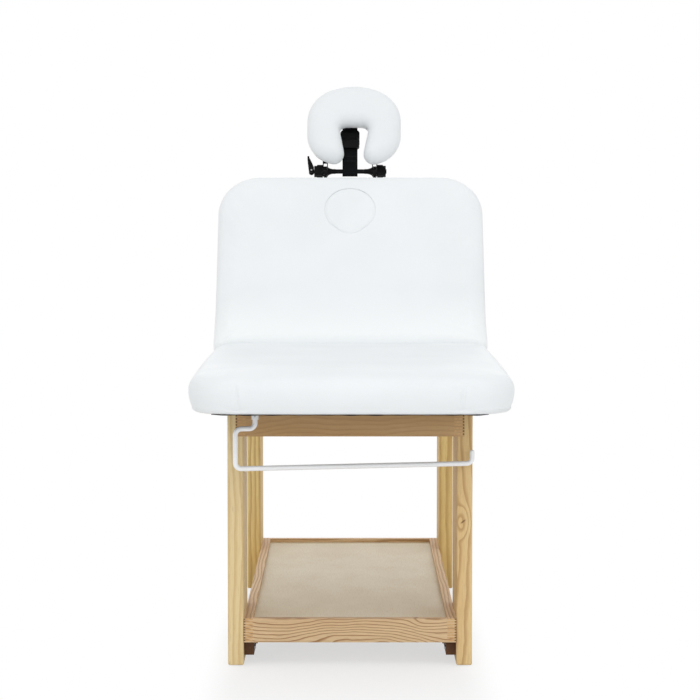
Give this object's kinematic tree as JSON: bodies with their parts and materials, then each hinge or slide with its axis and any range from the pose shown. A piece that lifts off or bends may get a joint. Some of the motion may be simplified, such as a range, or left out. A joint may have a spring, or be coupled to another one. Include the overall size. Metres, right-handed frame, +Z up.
{
  "type": "massage table",
  "caption": "Stationary wooden massage table with storage shelf, padded seat, lifting backrest with face hole and plug, paper roll holder and tilting face cradle.",
  "frame": {"origin": "on the floor under the middle of the part's bounding box", "axes": "+Z up, +Y along the table from the foot end to the head end, +X to the right seen from the foot end"},
  "size_m": [0.7662, 1.6866, 1.4505],
  "materials": {
    "upholstery": "white coated fabric over foam",
    "solid_wood": "clear satin lacquer on pale wood",
    "plywood": "pale veneer, matt",
    "zinc_steel": "zinc plated",
    "black_steel": "black powder coat",
    "black_plastic": "moulded, satin",
    "white_enamel": "white enamel",
    "webbing": "woven webbing",
    "black_cloth": "non-woven dust cover",
    "glide": "moulded"
  },
  "bodies": {
    "base": {"leg_front_left": "solid_wood", "leg_front_right": "solid_wood", "leg_rear_left": "solid_wood", "leg_rear_right": "solid_wood", "frame_front_rail": "solid_wood", "frame_rear_rail": "solid_wood", "frame_side_rail_left": "solid_wood", "frame_side_rail_right": "solid_wood", "frame_cross_rail_front": "solid_wood", "frame_cross_rail_rear": "solid_wood", "shelf_front_rail": "solid_wood", "shelf_rear_rail": "solid_wood", "shelf_side_rail_left": "solid_wood", "shelf_side_rail_right": "solid_wood", "shelf_panel": "plywood", "shelf_bearer_left": "solid_wood", "shelf_bearer_right": "solid_wood", "leg_bolts": "zinc_steel", "leg_nuts": "zinc_steel", "shelf_screws": "zinc_steel", "foot_glides": "glide", "seat_board": "plywood", "seat_pad": "upholstery", "seat_dust_cover": "black_cloth", "seat_screws": "zinc_steel", "roll_holder_socket": "white_enamel", "roll_holder_set_screw": "black_steel", "backrest_bumpers": "glide", "hinge_base_left": "zinc_steel", "hinge_base_right": "zinc_steel", "hinge_pins": "zinc_steel", "hinge_base_screws": "zinc_steel"},
    "backrest": {"backrest_board": "plywood", "backrest_pad": "upholstery", "backrest_batten_left": "solid_wood", "backrest_batten_right": "solid_wood", "hinge_arm_left": "zinc_steel", "hinge_arm_right": "zinc_steel", "hinge_pawls": "zinc_steel", "hinge_arm_screws": "zinc_steel", "cradle_socket_left": "black_plastic", "cradle_socket_right": "black_plastic"},
    "plug": {"plug_board": "plywood", "plug_pad": "upholstery"},
    "cradle_base": {"cradle_rod_left": "black_steel", "cradle_rod_right": "black_steel"},
    "cradle_head": {"cradle_crossbar": "black_steel", "cradle_cam_block": "black_plastic", "cradle_end_block": "black_plastic", "cradle_cone_washers": "black_plastic", "cradle_bracket_left": "black_steel", "cradle_bracket_right": "black_steel", "cradle_platform": "black_plastic", "cradle_cushion": "upholstery", "cradle_strap": "webbing", "cradle_buckle_socket": "black_plastic", "cradle_buckle_prongs": "black_plastic", "cradle_cam_pin": "black_steel"},
    "cam_lever": {"cradle_cam_lever": "black_plastic"},
    "roll_holder": {"roll_holder_rod": "white_enamel"}
  },
  "joints": [
    {"name": "backrest_tilt", "type": "hinge", "parent": "base", "child": "backrest", "pos_m": [0, 0.3918, 0.62], "axis": [1, 0, 0], "range_deg": [-58, 4]},
    {"name": "plug_lift", "type": "slide", "parent": "backrest", "child": "plug", "axis": [0, -0.848, 0.5299], "range_m": [0, 0.13]},
    {"name": "cradle_slide", "type": "slide", "parent": "backrest", "child": "cradle_base", "axis": [0, 0.5299, 0.848], "range_m": [0, 0.13]},
    {"name": "cradle_tilt", "type": "hinge", "parent": "cradle_base", "child": "cradle_head", "pos_m": [0, 0.73402, 1.19975], "axis": [1, 0, 0], "range_deg": [-35, 25]},
    {"name": "cam_lever_turn", "type": "hinge", "parent": "cradle_head", "child": "cam_lever", "pos_m": [-0.1125, 0.73402, 1.19975], "axis": [0, -0.848, 0.5299], "range_deg": [0, 90]},
    {"name": "roll_holder_swivel", "type": "hinge", "parent": "base", "child": "roll_holder", "pos_m": [-0.223, -0.7232, 0.59], "axis": [0, 0, 1], "range_deg": [-100, 0]}
  ]
}
